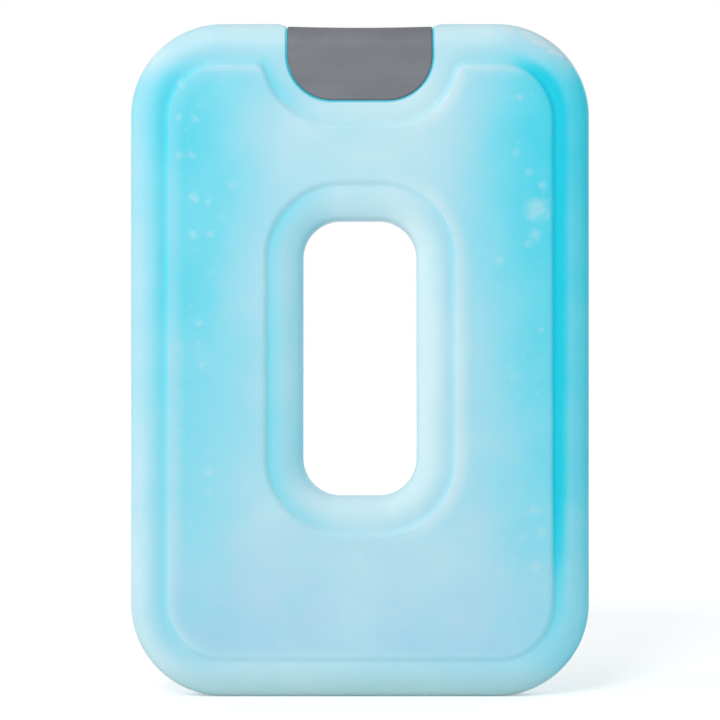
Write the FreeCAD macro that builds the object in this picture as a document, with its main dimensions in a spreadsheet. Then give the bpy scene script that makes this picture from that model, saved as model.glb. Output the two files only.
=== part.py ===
import FreeCAD, Part
import math
import os
import Sketcher
from FreeCAD import Placement, Rotation, Vector

# A refreezable ice pack: a blow-moulded slab with a hand slot through it, raised panels on both
# faces, and a saddle cap clipped over the plugged filling neck at the top.
# It stands on its lower edge: X is its width, Y its thickness with the front at -Y, Z is up,
# and the origin is the middle of the lower edge.

# Sizes in millimetres, angles in degrees
SIZES = [
    # The slab and the rounding of its edges
    ("body_width", 186.0),
    ("body_height", 273.0),
    ("border_thick", 20.4),
    ("corner_spread", 111.0),
    ("edge_flat", 9.0),
    ("edge_radius", 4.0),
    ("crown_radius", 18.0),
    ("rim_overlap", 1.5),
    # The hand slot
    ("slot_width", 46.2),
    ("slot_corner", 15.3),
    ("slot_below", 81.2),
    ("slot_above", 79.9),
    # The raised panels
    ("panel_rise", 1.0),
    ("step_run", 2.3),
    ("step_overlap", 1.0),
    ("foot_depth", 1.0),
    ("side_border", 13.8),
    ("end_border", 14.6),
    ("collar_land", 14.3),
    ("cap_land", 8.4),
    ("notch_blend", 5.0),
    # The saddle cap and its seat
    ("cap_width", 58.7),
    ("cap_drop", 30.4),
    ("cap_corner", 18.3),
    ("cap_inset", 1.0),
    ("cap_dip", 0.5),
    ("cap_sink", 0.2),
    ("cap_wall", 2.2),
    ("cap_edge_break", 0.5),
    ("cap_gap", 0.7),
    ("seat_gap", 0.3),
    ("lip_radius", 9.0),
    ("lip_drop", 1.3),
    ("seat_overlap", 2.0),
    ("cap_trim", 2.0),
    # The snap beads that hold the cap
    ("bead_radius", 0.9),
    ("bead_length", 24.0),
    ("bead_height", 7.0),
    ("bead_clearance", 0.2),
    # The filling port and its plug
    ("flange_diameter", 11.0),
    ("flange_thick", 1.5),
    ("barrel_diameter", 8.4),
    ("barrel_length", 8.0),
    ("plug_sink", 0.3),
    ("plug_clearance", 0.15),
    ("port_floor_gap", 0.5),
]
size = dict(SIZES)

# Edges this close to a place count as lying at it
NEAR = 0.01

# Places worked out from the sizes
LEAN = "((crown_radius - (border_thick - edge_flat) / 2) / (crown_radius - edge_radius))"
CROWN_RUN = f"(edge_radius + (crown_radius - edge_radius) * sqrt(1 - {LEAN} ^ 2))"
CORE_INSET = f"({CROWN_RUN} + rim_overlap / 2)"
OUTER_CORNER = "((body_width - corner_spread) / 2)"
SLOT_LENGTH = "(body_height - slot_below - slot_above)"
SLOT_MIDDLE = "((body_height + slot_below - slot_above) / 2)"
CAP_FACE = "(border_thick / 2 - cap_sink)"
CAP_TOP = "(body_height - cap_inset - cap_dip)"
CAP_FLOOR = "(body_height - cap_drop)"
STEP_INSET = "(step_run + step_overlap / 2)"
SEAT_DEPTH = "(cap_wall + seat_gap)"
NECK_TOP = f"({CAP_TOP} - {SEAT_DEPTH})"
DIP_RADIUS = "((cap_width ^ 2 / 4 + cap_dip ^ 2) / (2 * cap_dip))"

doc = FreeCAD.newDocument("ice_pack")
sheet = doc.addObject("Spreadsheet::Sheet", "Sizes")
for row, (name, value) in enumerate(SIZES, start=1):
    sheet.set(f"A{row}", name)
    sheet.set(f"B{row}", str(value))
    sheet.setAlias(f"B{row}", name)
doc.recompute()


def cells(formula):
    """A formula in the sizes' names, written as an expression on the sheet's cells."""
    text = ""
    word = ""
    for letter in formula + " ":
        if letter.isalnum() or letter == "_":
            word += letter
            continue
        text += f"Sizes.{word}" if word in size else word
        text += letter
        word = ""
    return text.strip()


def worth(formula):
    """The same formula as a number, for the first shape of a sketch."""
    return float(sheet.evalExpression(cells(formula)))


def plane(body, role):
    """One of the body's own origin planes."""
    return next(item for item in body.Origin.OriginFeatures if item.Role == role)


def sketch_on(body, name, role, offset="0"):
    """A sketch on an origin plane, moved along that plane's normal by a formula."""
    sketch = body.newObject("Sketcher::SketchObject", name)
    sketch.AttachmentSupport = [(plane(body, role), "")]
    sketch.MapMode = "FlatFace"
    sketch.AttachmentOffset = Placement(Vector(0, 0, worth(offset)), Rotation())
    sketch.setExpression("AttachmentOffset.Base.z", cells(offset))
    return sketch


def bind(sketch, name, formula, kind, *places):
    """A named dimension whose value is a formula on the sheet."""
    index = sketch.addConstraint(Sketcher.Constraint(kind, *places, worth(formula)))
    sketch.renameConstraint(index, name)
    sketch.setExpression(f"Constraints.{name}", cells(formula))


def line(start, end):
    return Part.LineSegment(Vector(*start, 0), Vector(*end, 0))


def arc(centre, radius, start, end):
    """An arc from one angle in degrees to another, clockwise where the second is smaller."""
    circle = Part.Circle(Vector(*centre, 0), Vector(0, 0, 1), radius)
    return Part.ArcOfCircle(circle, math.radians(min(start, end)), math.radians(max(start, end)))


def closed_chain(sketch, pieces):
    """A closed outline of (geometry, joint to the next, run), where run is -1 if clockwise."""
    first = sketch.GeometryCount
    for geometry, _, _ in pieces:
        sketch.addGeometry(geometry, False)
    for number, (_, joint, run) in enumerate(pieces):
        after = (number + 1) % len(pieces)
        leaving = 2 if run > 0 else 1
        entering = 1 if pieces[after][2] > 0 else 2
        sketch.addConstraint(
            Sketcher.Constraint(joint, first + number, leaving, first + after, entering)
        )
    return list(range(first, first + len(pieces)))


def rounded_rectangle(sketch, prefix, width, height, corner, floor):
    """An upright rounded rectangle, centred on the sketch's vertical axis."""
    half = worth(width) / 2
    low = worth(floor)
    high = low + worth(height)
    r = worth(corner)
    bottom, _, right, _, top, _, left, _ = corners = closed_chain(
        sketch,
        [
            (line((-half + r, low), (half - r, low)), "Tangent", 1),
            (arc((half - r, low + r), r, 270, 360), "Tangent", 1),
            (line((half, low + r), (half, high - r)), "Tangent", 1),
            (arc((half - r, high - r), r, 0, 90), "Tangent", 1),
            (line((half - r, high), (-half + r, high)), "Tangent", 1),
            (arc((-half + r, high - r), r, 90, 180), "Tangent", 1),
            (line((-half, high - r), (-half, low + r)), "Tangent", 1),
            (arc((-half + r, low + r), r, 180, 270), "Tangent", 1),
        ],
    )
    for flat in (bottom, top):
        sketch.addConstraint(Sketcher.Constraint("Horizontal", flat))
    for upright in (left, right):
        sketch.addConstraint(Sketcher.Constraint("Vertical", upright))
    for other in corners[3::2]:
        sketch.addConstraint(Sketcher.Constraint("Equal", corners[1], other))
    bind(sketch, f"{prefix}_corner", corner, "Radius", corners[1])
    bind(sketch, f"{prefix}_half", f"{width} / 2", "DistanceX", -1, 1, right, 1)
    bind(sketch, f"{prefix}_width", width, "DistanceX", left, 1, right, 2)
    bind(sketch, f"{prefix}_height", height, "DistanceY", bottom, 1, top, 1)
    if low == 0:
        sketch.addConstraint(Sketcher.Constraint("PointOnObject", bottom, 1, -1))
    else:
        bind(sketch, f"{prefix}_floor", floor, "DistanceY", -1, 1, bottom, 1)


def edge_profile(sketch, wall, wall_is_left):
    """The section of a moulded edge: a flat band, a tight arc, then a wide crown on to the face."""
    x = -worth(wall) if wall_is_left else worth(wall)
    flat = worth("edge_flat") / 2
    face = worth("border_thick") / 2
    tight = worth("edge_radius")
    wide = worth("crown_radius")
    run = worth(CROWN_RUN)
    inner = x + run + worth("rim_overlap")
    lean = math.degrees(math.asin(worth(LEAN)))
    band, low_tight, low_wide, low_face, inside, top_face, top_wide, top_tight = closed_chain(
        sketch,
        [
            (line((x, flat), (x, -flat)), "Tangent", 1),
            (arc((x + tight, -flat), tight, 180, 180 + lean), "Tangent", 1),
            (arc((x + run, wide - face), wide, 180 + lean, 270), "Tangent", 1),
            (line((x + run, -face), (inner, -face)), "Coincident", 1),
            (line((inner, -face), (inner, face)), "Coincident", 1),
            (line((inner, face), (x + run, face)), "Tangent", 1),
            (arc((x + run, face - wide), wide, 90, 180 - lean), "Tangent", 1),
            (arc((x + tight, flat), tight, 180 - lean, 180), "Tangent", 1),
        ],
    )
    for upright in (band, inside):
        sketch.addConstraint(Sketcher.Constraint("Vertical", upright))
    for level in (low_face, top_face):
        sketch.addConstraint(Sketcher.Constraint("Horizontal", level))
    sketch.addConstraint(Sketcher.Constraint("Equal", low_tight, top_tight))
    sketch.addConstraint(Sketcher.Constraint("Equal", low_wide, top_wide))
    bind(sketch, "tight", "edge_radius", "Radius", low_tight)
    bind(sketch, "wide", "crown_radius", "Radius", low_wide)
    bind(sketch, "band_top", "edge_flat / 2", "DistanceY", -1, 1, band, 1)
    bind(sketch, "band", "edge_flat", "DistanceY", band, 2, band, 1)
    bind(sketch, "face", "border_thick / 2", "DistanceY", -1, 1, top_face, 1)
    bind(sketch, "thickness", "border_thick", "DistanceY", low_face, 1, top_face, 1)
    bind(sketch, "overlap", "rim_overlap", "DistanceX", low_face, 1, low_face, 2)
    ends = (band, 1, -1, 1) if wall_is_left else (-1, 1, band, 1)
    bind(sketch, "wall", wall, "DistanceX", *ends)


def saddle_section(sketch, shrink, foot):
    """The arched section of the cap or of what it sits on, with the slab's own edge rounding.
    The whole arch lies inside the cap's outer skin by the formula shrink."""
    half = worth(f"{CAP_FACE} - {shrink}")
    high = worth(f"{CAP_TOP} - {shrink}")
    low = worth(foot)
    flat = worth("edge_flat") / 2
    tight = worth(f"edge_radius - {shrink}")
    wide = worth(f"crown_radius - {shrink}")
    rise = math.sqrt((wide - tight) ** 2 - (wide + flat - half) ** 2)
    shoulder = high - tight - rise
    lean = math.degrees(math.asin(rise / (wide - tight)))
    foot_line, right, right_wide, right_tight, roof, left_tight, left_wide, left = closed_chain(
        sketch,
        [
            (line((-half, low), (half, low)), "Coincident", 1),
            (line((half, low), (half, shoulder)), "Tangent", 1),
            (arc((half - wide, shoulder), wide, 0, lean), "Tangent", 1),
            (arc((flat, high - tight), tight, lean, 90), "Tangent", 1),
            (line((flat, high), (-flat, high)), "Tangent", 1),
            (arc((-flat, high - tight), tight, 90, 180 - lean), "Tangent", 1),
            (arc((wide - half, shoulder), wide, 180 - lean, 180), "Tangent", 1),
            (line((-half, shoulder), (-half, low)), "Coincident", 1),
        ],
    )
    for upright in (left, right):
        sketch.addConstraint(Sketcher.Constraint("Vertical", upright))
    for level in (foot_line, roof):
        sketch.addConstraint(Sketcher.Constraint("Horizontal", level))
    sketch.addConstraint(Sketcher.Constraint("Equal", right_tight, left_tight))
    sketch.addConstraint(Sketcher.Constraint("Equal", right_wide, left_wide))
    bind(sketch, "tight", f"edge_radius - {shrink}", "Radius", right_tight)
    bind(sketch, "wide", f"crown_radius - {shrink}", "Radius", right_wide)
    bind(sketch, "flat_half", "edge_flat / 2", "DistanceX", -1, 1, roof, 1)
    bind(sketch, "flat", "edge_flat", "DistanceX", roof, 2, roof, 1)
    bind(sketch, "half", f"{CAP_FACE} - {shrink}", "DistanceX", -1, 1, right, 1)
    bind(sketch, "whole", f"2 * ({CAP_FACE} - {shrink})", "DistanceX", left, 1, right, 2)
    bind(sketch, "top", f"{CAP_TOP} - {shrink}", "DistanceY", -1, 1, roof, 1)
    bind(sketch, "foot", foot, "DistanceY", -1, 1, foot_line, 1)


def dip_axis(sketch):
    """The far axis, across the slab's thickness, about which the cap's dipped top is turned."""
    height = f"({CAP_TOP} + {DIP_RADIUS})"
    half = worth(CAP_FACE)
    ends = line((-half, worth(height)), (half, worth(height)))
    axis = sketch.addGeometry(ends, True)
    sketch.addConstraint(Sketcher.Constraint("Horizontal", axis))
    bind(sketch, "axis_height", height, "DistanceY", -1, 1, axis, 1)
    bind(sketch, "axis_half", CAP_FACE, "DistanceX", -1, 1, axis, 2)
    bind(sketch, "axis_length", f"2 * {CAP_FACE}", "DistanceX", axis, 1, axis, 2)


def panel_outline(sketch, inset):
    """A raised panel's outline, drawn in from its foot by a formula.
    It follows the border, and dips round the cap's tongue."""
    side = f"(body_width / 2 - side_border - {inset})"
    floor_height = f"(end_border + {inset})"
    roof_height = f"(body_height - end_border - {inset})"
    corner_radius = f"({OUTER_CORNER} - side_border - {inset})"
    blend_radius = f"(notch_blend - {inset})"
    notch_radius = f"(cap_corner + cap_gap + cap_land + {inset})"
    notch_floor = f"({CAP_FLOOR} - cap_gap - cap_land - {inset})"
    half = worth(side)
    low = worth(floor_height)
    high = worth(roof_height)
    r = worth(corner_radius)
    blend = worth(blend_radius)
    notch = worth(notch_radius)
    x = worth("cap_width / 2 - cap_corner")
    z = worth(f"{CAP_FLOOR} + cap_corner")
    across = math.sqrt((notch + blend) ** 2 - (high - blend - z) ** 2)
    turn = math.degrees(math.atan2(high - blend - z, across))
    bottom, corner, right, _, top_right, blend_right, notch_right, floor, *rest = closed_chain(
        sketch,
        [
            (line((-half + r, low), (half - r, low)), "Tangent", 1),
            (arc((half - r, low + r), r, 270, 360), "Tangent", 1),
            (line((half, low + r), (half, high - r)), "Tangent", 1),
            (arc((half - r, high - r), r, 0, 90), "Tangent", 1),
            (line((half - r, high), (x + across, high)), "Tangent", 1),
            (arc((x + across, high - blend), blend, 90, 180 + turn), "Tangent", 1),
            (arc((x, z), notch, 360 + turn, 270), "Tangent", -1),
            (line((x, z - notch), (-x, z - notch)), "Tangent", 1),
            (arc((-x, z), notch, 270, 180 - turn), "Tangent", -1),
            (arc((-x - across, high - blend), blend, -turn, 90), "Tangent", 1),
            (line((-x - across, high), (-half + r, high)), "Tangent", 1),
            (arc((-half + r, high - r), r, 90, 180), "Tangent", 1),
            (line((-half, high - r), (-half, low + r)), "Tangent", 1),
            (arc((-half + r, low + r), r, 180, 270), "Tangent", 1),
        ],
    )
    notch_left, blend_left, top_left, corner_top_left, left, corner_left = rest
    for level in (bottom, top_right, floor, top_left):
        sketch.addConstraint(Sketcher.Constraint("Horizontal", level))
    for upright in (right, left):
        sketch.addConstraint(Sketcher.Constraint("Vertical", upright))
    for other in (corner + 2, corner_top_left, corner_left):
        sketch.addConstraint(Sketcher.Constraint("Equal", corner, other))
    sketch.addConstraint(Sketcher.Constraint("Equal", blend_right, blend_left))
    sketch.addConstraint(Sketcher.Constraint("Equal", notch_right, notch_left))
    sketch.addConstraint(Sketcher.Constraint("Horizontal", top_right, 1, top_left, 1))
    bind(sketch, "panel_corner", corner_radius, "Radius", corner)
    bind(sketch, "notch_blend", blend_radius, "Radius", blend_right)
    bind(sketch, "notch", notch_radius, "Radius", notch_right)
    bind(sketch, "half", side, "DistanceX", -1, 1, right, 1)
    bind(sketch, "width", f"2 * {side}", "DistanceX", left, 1, right, 2)
    bind(sketch, "low", floor_height, "DistanceY", -1, 1, bottom, 1)
    bind(sketch, "high", roof_height, "DistanceY", -1, 1, top_right, 1)
    bind(sketch, "notch_half", "cap_width / 2 - cap_corner", "DistanceX", -1, 1, floor, 1)
    bind(sketch, "notch_width", "cap_width - 2 * cap_corner", "DistanceX", floor, 2, floor, 1)
    bind(sketch, "notch_floor", notch_floor, "DistanceY", -1, 1, floor, 1)


def step_profile(sketch, foot, foot_is_left, side):
    """The section of a panel's step: a slope from the border up to the panel.
    The side is -1 for the front face and 1 for the back."""
    x = -worth(foot) if foot_is_left else worth(foot)
    face = side * worth("border_thick / 2")
    root = side * worth("border_thick / 2 - foot_depth")
    top = side * worth("border_thick / 2 + panel_rise")
    crest = x + worth("step_run")
    inner = crest + worth("step_overlap")
    foot_line, _, plateau, inside, base = closed_chain(
        sketch,
        [
            (line((x, root), (x, face)), "Coincident", 1),
            (line((x, face), (crest, top)), "Coincident", 1),
            (line((crest, top), (inner, top)), "Coincident", 1),
            (line((inner, top), (inner, root)), "Coincident", 1),
            (line((inner, root), (x, root)), "Coincident", 1),
        ],
    )
    for upright in (foot_line, inside):
        sketch.addConstraint(Sketcher.Constraint("Vertical", upright))
    for level in (plateau, base):
        sketch.addConstraint(Sketcher.Constraint("Horizontal", level))
    ends = (foot_line, 1, -1, 1) if foot_is_left else (-1, 1, foot_line, 1)
    bind(sketch, "foot", foot, "DistanceX", *ends)
    bind(sketch, "run", "step_run", "DistanceX", foot_line, 2, plateau, 1)
    bind(sketch, "overlap", "step_overlap", "DistanceX", plateau, 1, plateau, 2)
    for name, formula, place in (
        ("root", "border_thick / 2 - foot_depth", (foot_line, 1)),
        ("face", "border_thick / 2", (foot_line, 2)),
        ("top", "border_thick / 2 + panel_rise", (plateau, 1)),
    ):
        ends = (-1, 1, *place) if side > 0 else (*place, -1, 1)
        bind(sketch, name, formula, "DistanceY", *ends)


def panel_slot(sketch, inset):
    """The panel's inner outline round the slot's collar, drawn into the panel by a formula."""
    rounded_rectangle(
        sketch,
        "collar",
        f"(slot_width + 2 * (collar_land + {inset}))",
        f"({SLOT_LENGTH} + 2 * (collar_land + {inset}))",
        f"(slot_corner + collar_land + {inset})",
        f"(slot_below - collar_land - {inset})",
    )


def tongue_outline(sketch, roof):
    """The cap's outline from the front: a broad tongue, open at the top up to roof."""
    half = worth("cap_width / 2")
    r = worth("cap_corner")
    low = worth(CAP_FLOOR)
    high = worth(roof)
    bottom, corner, right, top, left, corner_left = closed_chain(
        sketch,
        [
            (line((-half + r, low), (half - r, low)), "Tangent", 1),
            (arc((half - r, low + r), r, 270, 360), "Tangent", 1),
            (line((half, low + r), (half, high)), "Coincident", 1),
            (line((half, high), (-half, high)), "Coincident", 1),
            (line((-half, high), (-half, low + r)), "Tangent", 1),
            (arc((-half + r, low + r), r, 180, 270), "Tangent", 1),
        ],
    )
    for level in (bottom, top):
        sketch.addConstraint(Sketcher.Constraint("Horizontal", level))
    for upright in (right, left):
        sketch.addConstraint(Sketcher.Constraint("Vertical", upright))
    sketch.addConstraint(Sketcher.Constraint("Equal", corner, corner_left))
    bind(sketch, "corner", "cap_corner", "Radius", corner)
    bind(sketch, "half", "cap_width / 2", "DistanceX", -1, 1, right, 1)
    bind(sketch, "width", "cap_width", "DistanceX", left, 1, right, 2)
    bind(sketch, "floor", CAP_FLOOR, "DistanceY", -1, 1, bottom, 1)
    bind(sketch, "roof", roof, "DistanceY", -1, 1, top, 1)


def box_outline(sketch, width, low, high):
    """A plain upright rectangle, centred on the sketch's vertical axis."""
    half = worth(width) / 2
    bottom, right, top, left = closed_chain(
        sketch,
        [
            (line((-half, worth(low)), (half, worth(low))), "Coincident", 1),
            (line((half, worth(low)), (half, worth(high))), "Coincident", 1),
            (line((half, worth(high)), (-half, worth(high))), "Coincident", 1),
            (line((-half, worth(high)), (-half, worth(low))), "Coincident", 1),
        ],
    )
    for level in (bottom, top):
        sketch.addConstraint(Sketcher.Constraint("Horizontal", level))
    for upright in (right, left):
        sketch.addConstraint(Sketcher.Constraint("Vertical", upright))
    bind(sketch, "box_half", f"{width} / 2", "DistanceX", -1, 1, right, 1)
    bind(sketch, "box_width", width, "DistanceX", left, 2, right, 1)
    bind(sketch, "box_low", low, "DistanceY", -1, 1, bottom, 1)
    bind(sketch, "box_high", high, "DistanceY", -1, 1, top, 1)


def saddle_outline(sketch):
    """The seat that the cap drops into: its tongue with a gap all round, and softly rounded lips
    where the seat opens through the slab's top edge."""
    half = worth("cap_width / 2 + cap_gap")
    r = worth("cap_corner + cap_gap")
    low = worth(f"{CAP_FLOOR} - cap_gap")
    edge = worth("body_height")
    high = worth("body_height + cap_trim")
    lip = worth("lip_radius")
    drop = worth("lip_drop")
    run = math.sqrt(lip**2 - (lip - drop) ** 2)
    start = math.degrees(math.atan2(lip - drop, run))
    out = half + run
    bottom, corner, right, lip_right, up, roof, down, lip_left, left, corner_left = closed_chain(
        sketch,
        [
            (line((-half + r, low), (half - r, low)), "Tangent", 1),
            (arc((half - r, low + r), r, 270, 360), "Tangent", 1),
            (line((half, low + r), (half, edge - drop)), "Coincident", 1),
            (arc((out, edge - lip), lip, 180 - start, 90), "Coincident", -1),
            (line((out, edge), (out, high)), "Coincident", 1),
            (line((out, high), (-out, high)), "Coincident", 1),
            (line((-out, high), (-out, edge)), "Coincident", 1),
            (arc((-out, edge - lip), lip, 90, start), "Coincident", -1),
            (line((-half, edge - drop), (-half, low + r)), "Tangent", 1),
            (arc((-half + r, low + r), r, 180, 270), "Tangent", 1),
        ],
    )
    for level in (bottom, roof):
        sketch.addConstraint(Sketcher.Constraint("Horizontal", level))
    for upright in (right, up, down, left):
        sketch.addConstraint(Sketcher.Constraint("Vertical", upright))
    sketch.addConstraint(Sketcher.Constraint("Equal", corner, corner_left))
    sketch.addConstraint(Sketcher.Constraint("Equal", lip_right, lip_left))
    sketch.addConstraint(Sketcher.Constraint("Vertical", lip_right, 3, up, 1))
    sketch.addConstraint(Sketcher.Constraint("Vertical", lip_left, 3, down, 2))
    bind(sketch, "corner", "cap_corner + cap_gap", "Radius", corner)
    bind(sketch, "lip", "lip_radius", "Radius", lip_right)
    bind(sketch, "half", "cap_width / 2 + cap_gap", "DistanceX", -1, 1, right, 1)
    bind(sketch, "width", "cap_width + 2 * cap_gap", "DistanceX", left, 2, right, 1)
    bind(sketch, "floor", f"{CAP_FLOOR} - cap_gap", "DistanceY", -1, 1, bottom, 1)
    bind(sketch, "roof", "body_height + cap_trim", "DistanceY", -1, 1, roof, 1)
    bind(sketch, "edge_right", "body_height", "DistanceY", -1, 1, up, 1)
    bind(sketch, "edge_left", "body_height", "DistanceY", -1, 1, down, 2)
    bind(sketch, "drop_right", "body_height - lip_drop", "DistanceY", -1, 1, right, 2)
    bind(sketch, "drop_left", "body_height - lip_drop", "DistanceY", -1, 1, left, 1)


def pad(body, name, sketch, length, symmetric=False, backwards=False):
    feature = body.newObject("PartDesign::Pad", name)
    feature.Profile = sketch
    feature.SideType = "Symmetric" if symmetric else "One side"
    feature.Reversed = backwards
    feature.Length = worth(length)
    feature.setExpression("Length", cells(length))
    return feature


def pipe(body, name, section, path):
    """A section swept round a closed path."""
    feature = body.newObject("PartDesign::AdditivePipe", name)
    feature.Profile = section
    feature.Spine = (path, [])
    return feature


def pocket(body, name, sketch, length):
    """A cut that goes equally far to both sides of its sketch."""
    feature = body.newObject("PartDesign::Pocket", name)
    feature.Profile = sketch
    feature.SideType = "Symmetric"
    feature.Length = worth(length)
    feature.setExpression("Length", cells(length))
    return feature


def bead_circles(sketch, radius):
    """One circle at the inner face of each tongue, as a bead's or its groove's section."""
    face = f"({CAP_FACE} - cap_wall)"
    height = f"({CAP_FLOOR} + bead_height)"
    for side, name in ((-1, "front"), (1, "back")):
        centre = Vector(side * worth(face), worth(height), 0)
        circle = sketch.addGeometry(Part.Circle(centre, Vector(0, 0, 1), worth(radius)), False)
        ends = (-1, 1, circle, 3) if side > 0 else (circle, 3, -1, 1)
        bind(sketch, f"{name}_face", face, "DistanceX", *ends)
        bind(sketch, f"{name}_height", height, "DistanceY", -1, 1, circle, 3)
        bind(sketch, f"{name}_radius", radius, "Radius", circle)


def stopper_profile(sketch, clearance, top, tip_gap):
    """Half the plug's section from its axis, or the port's: wider by the clearance, and deeper."""
    flange_half = f"(flange_diameter / 2 + {clearance})"
    barrel_half = f"(barrel_diameter / 2 + {clearance})"
    ledge = f"({NECK_TOP} - plug_sink - flange_thick)"
    tip = f"({ledge} - barrel_length - {tip_gap})"
    wide = worth(flange_half)
    slim = worth(barrel_half)
    axis, floor, barrel, step, rim, roof = closed_chain(
        sketch,
        [
            (line((0, worth(top)), (0, worth(tip))), "Coincident", 1),
            (line((0, worth(tip)), (slim, worth(tip))), "Coincident", 1),
            (line((slim, worth(tip)), (slim, worth(ledge))), "Coincident", 1),
            (line((slim, worth(ledge)), (wide, worth(ledge))), "Coincident", 1),
            (line((wide, worth(ledge)), (wide, worth(top))), "Coincident", 1),
            (line((wide, worth(top)), (0, worth(top))), "Coincident", 1),
        ],
    )
    for upright in (axis, barrel, rim):
        sketch.addConstraint(Sketcher.Constraint("Vertical", upright))
    for level in (floor, step, roof):
        sketch.addConstraint(Sketcher.Constraint("Horizontal", level))
    sketch.addConstraint(Sketcher.Constraint("PointOnObject", axis, 1, -2))
    bind(sketch, "barrel_half", barrel_half, "DistanceX", -1, 1, step, 1)
    bind(sketch, "flange_half", flange_half, "DistanceX", -1, 1, rim, 1)
    bind(sketch, "top", top, "DistanceY", -1, 1, roof, 1)
    bind(sketch, "ledge", ledge, "DistanceY", -1, 1, step, 1)
    bind(sketch, "tip", tip, "DistanceY", -1, 1, floor, 1)


def edges_at_depth(shape, depth):
    """The names of the edges that lie flat at this distance from the mid plane, front and back."""
    names = []
    for number, edge in enumerate(shape.Edges, start=1):
        box = edge.BoundBox
        if box.YLength < NEAR and abs(abs(box.YMin) - depth) < NEAR:
            names.append(f"Edge{number}")
    return names


# The slab: a flat core, a rounded rim swept round it, and a rounded collar swept round the slot
slab = doc.addObject("PartDesign::Body", "pack_body")
slab.Label = "pack_body"

core_sketch = sketch_on(slab, "CoreOutline", "XZ_Plane")
rounded_rectangle(
    core_sketch,
    "outer",
    f"(body_width - 2 * {CORE_INSET})",
    f"(body_height - 2 * {CORE_INSET})",
    f"({OUTER_CORNER} - {CORE_INSET})",
    CORE_INSET,
)
rounded_rectangle(
    core_sketch,
    "slot",
    f"(slot_width + 2 * {CORE_INSET})",
    f"({SLOT_LENGTH} + 2 * {CORE_INSET})",
    f"(slot_corner + {CORE_INSET})",
    f"(slot_below - {CORE_INSET})",
)
pad(slab, "Core", core_sketch, "border_thick", symmetric=True)

rim_path = sketch_on(slab, "RimPath", "XZ_Plane")
rounded_rectangle(rim_path, "rim", "body_width", "body_height", OUTER_CORNER, "0")
rim_sketch = sketch_on(slab, "RimSection", "XY_Plane", "body_height / 2")
edge_profile(rim_sketch, "body_width / 2", wall_is_left=True)
pipe(slab, "Rim", rim_sketch, rim_path)

collar_path = sketch_on(slab, "CollarPath", "XZ_Plane")
rounded_rectangle(collar_path, "collar", "slot_width", SLOT_LENGTH, "slot_corner", "slot_below")
collar_sketch = sketch_on(slab, "CollarSection", "XY_Plane", SLOT_MIDDLE)
edge_profile(collar_sketch, "slot_width / 2", wall_is_left=False)
pipe(slab, "Collar", collar_sketch, collar_path)

# The raised panels: a plate on each face, and the sloped steps swept round its outline and slot
step_path = sketch_on(slab, "PanelFoot", "XZ_Plane")
panel_outline(step_path, "0")
ring_path = sketch_on(slab, "CollarFoot", "XZ_Plane")
panel_slot(ring_path, "0")
for word, side in (("Front", -1), ("Back", 1)):
    plate_sketch = sketch_on(slab, f"{word}Plate", "XZ_Plane", f"{-side} * border_thick / 2")
    panel_outline(plate_sketch, STEP_INSET)
    panel_slot(plate_sketch, STEP_INSET)
    pad(slab, f"{word}Panel", plate_sketch, "panel_rise", backwards=side > 0)
    outer_sketch = sketch_on(slab, f"{word}StepSection", "XY_Plane", "body_height / 2")
    step_profile(outer_sketch, "body_width / 2 - side_border", True, side)
    pipe(slab, f"{word}Step", outer_sketch, step_path)
    inner_sketch = sketch_on(slab, f"{word}RingSection", "XY_Plane", SLOT_MIDDLE)
    step_profile(inner_sketch, "slot_width / 2 + collar_land", False, side)
    pipe(slab, f"{word}Ring", inner_sketch, ring_path)
doc.recompute()

# The seat for the cap: a saddle cut through the top edge, with the filling neck left standing in it
saddle_sketch = sketch_on(slab, "SaddleOutline", "XZ_Plane")
saddle_outline(saddle_sketch)
pocket(slab, "SaddleCut", saddle_sketch, "2 * (border_thick + 2 * panel_rise)")
neck_sketch = sketch_on(slab, "NeckSection", "YZ_Plane")
saddle_section(neck_sketch, SEAT_DEPTH, f"({CAP_FLOOR} - cap_gap - seat_overlap)")
pad(slab, "Neck", neck_sketch, "cap_width + 2 * (cap_gap + seat_overlap)", symmetric=True)

# The filling port in the neck, and the grooves that the cap's beads snap into
port_sketch = sketch_on(slab, "PortSection", "XZ_Plane")
stopper_profile(port_sketch, "plug_clearance", "body_height", "port_floor_gap")
port = slab.newObject("PartDesign::Groove", "FillingPort")
port.Profile = port_sketch
port.ReferenceAxis = (port_sketch, ["V_Axis"])
port.Angle = 360
groove_sketch = sketch_on(slab, "GrooveSection", "YZ_Plane")
bead_circles(groove_sketch, "(bead_radius + bead_clearance)")
pocket(slab, "SnapGrooves", groove_sketch, "bead_length + 2 * bead_clearance")

# The saddle cap: an arched block whose top dips a little along its width, trimmed to the tongue's
# outline, hollowed to an even wall, with a snap bead inside each tongue
cap = doc.addObject("PartDesign::Body", "port_cap")
cap.Label = "port_cap"
arch_sketch = sketch_on(cap, "ArchSection", "YZ_Plane")
saddle_section(arch_sketch, "0", f"({CAP_FLOOR} - cap_trim)")
dip_axis(arch_sketch)
arch = cap.newObject("PartDesign::Revolution", "Arch")
arch.Profile = arch_sketch
arch.ReferenceAxis = (arch_sketch, ["Axis0"])
arch.Midplane = True
sweep = f"2 * asin((cap_width / 2 + cap_trim) / {DIP_RADIUS})"
arch.Angle = worth(sweep)
arch.setExpression("Angle", cells(sweep))

trim_sketch = sketch_on(cap, "TongueOutline", "XZ_Plane")
box_outline(
    trim_sketch,
    "(cap_width + 6 * cap_trim)",
    f"({CAP_FLOOR} - 3 * cap_trim)",
    "(body_height + 3 * cap_trim)",
)
tongue_outline(trim_sketch, "(body_height + cap_trim)")
pocket(cap, "TongueTrim", trim_sketch, "2 * border_thick")
doc.recompute()

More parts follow.
